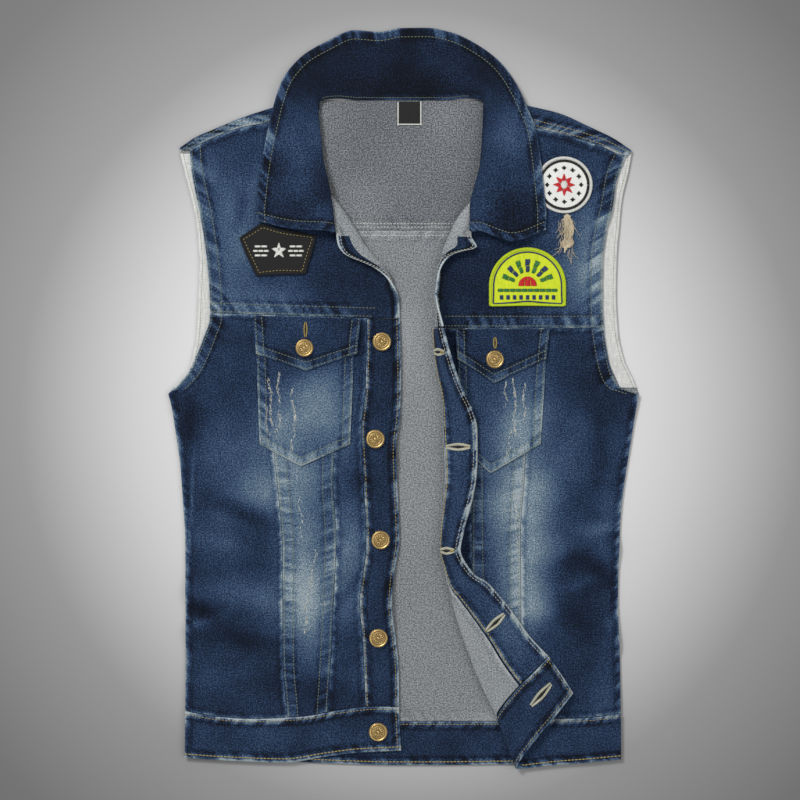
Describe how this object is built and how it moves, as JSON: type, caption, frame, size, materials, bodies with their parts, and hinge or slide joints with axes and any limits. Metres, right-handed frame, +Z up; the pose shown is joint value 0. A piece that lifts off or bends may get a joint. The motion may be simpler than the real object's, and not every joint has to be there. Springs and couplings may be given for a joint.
{
  "type": "denim vest",
  "caption": "Sleeveless denim vest laid flat and open, with turned-down collar, flap chest pockets, one front edge folded back and sewn-on patches.",
  "frame": {"origin": "on the underside of the back panel, midway across and level with the underarms", "axes": "+Y from hem to collar, +X across towards the wearer's left front, +Z up from the surface it lies on"},
  "size_m": [0.4715, 0.742, 0.0303],
  "materials": {
    "denim": "washed indigo twill, faded along seams",
    "denim_inside": "grey inner side of the twill",
    "white_tape": "plain white cotton tape",
    "aged_brass": "antique brass, worn on its rims",
    "patch_black": "embroidered twill patch",
    "patch_white": "embroidered twill patch",
    "patch_lime": "embroidered twill patch",
    "label_black": "woven label, cream edge, plain",
    "frayed_cotton": "loose undyed threads"
  },
  "bodies": {
    "root": {"back_yoke": "denim_inside", "back_panel": "denim_inside", "back_band": "denim", "armhole_tape_right": "white_tape", "armhole_tape_left": "white_tape", "side_front_right": "denim", "v_panel_right": "denim", "inner_front_right": "denim", "button_strip": "denim", "side_front_left": "denim", "v_panel_left": "denim", "inner_front_left": "denim", "buttonhole_strip": "denim", "front_band_right": "denim", "front_band_left": "denim", "front_yoke_right": "denim", "front_yoke_left": "denim", "pocket_right": "denim", "pocket_left": "denim", "flap_right": "denim", "flap_left": "denim", "collar": "denim", "button_1": "aged_brass", "button_2": "aged_brass", "button_3": "aged_brass", "button_4": "aged_brass", "button_5": "aged_brass", "pocket_button_right": "aged_brass", "pocket_button_left": "aged_brass", "patch_pentagon": "patch_black", "patch_round": "patch_white", "patch_dome": "patch_lime", "neck_label": "label_black", "frayed_spot": "frayed_cotton"}
  },
  "joints": []
}
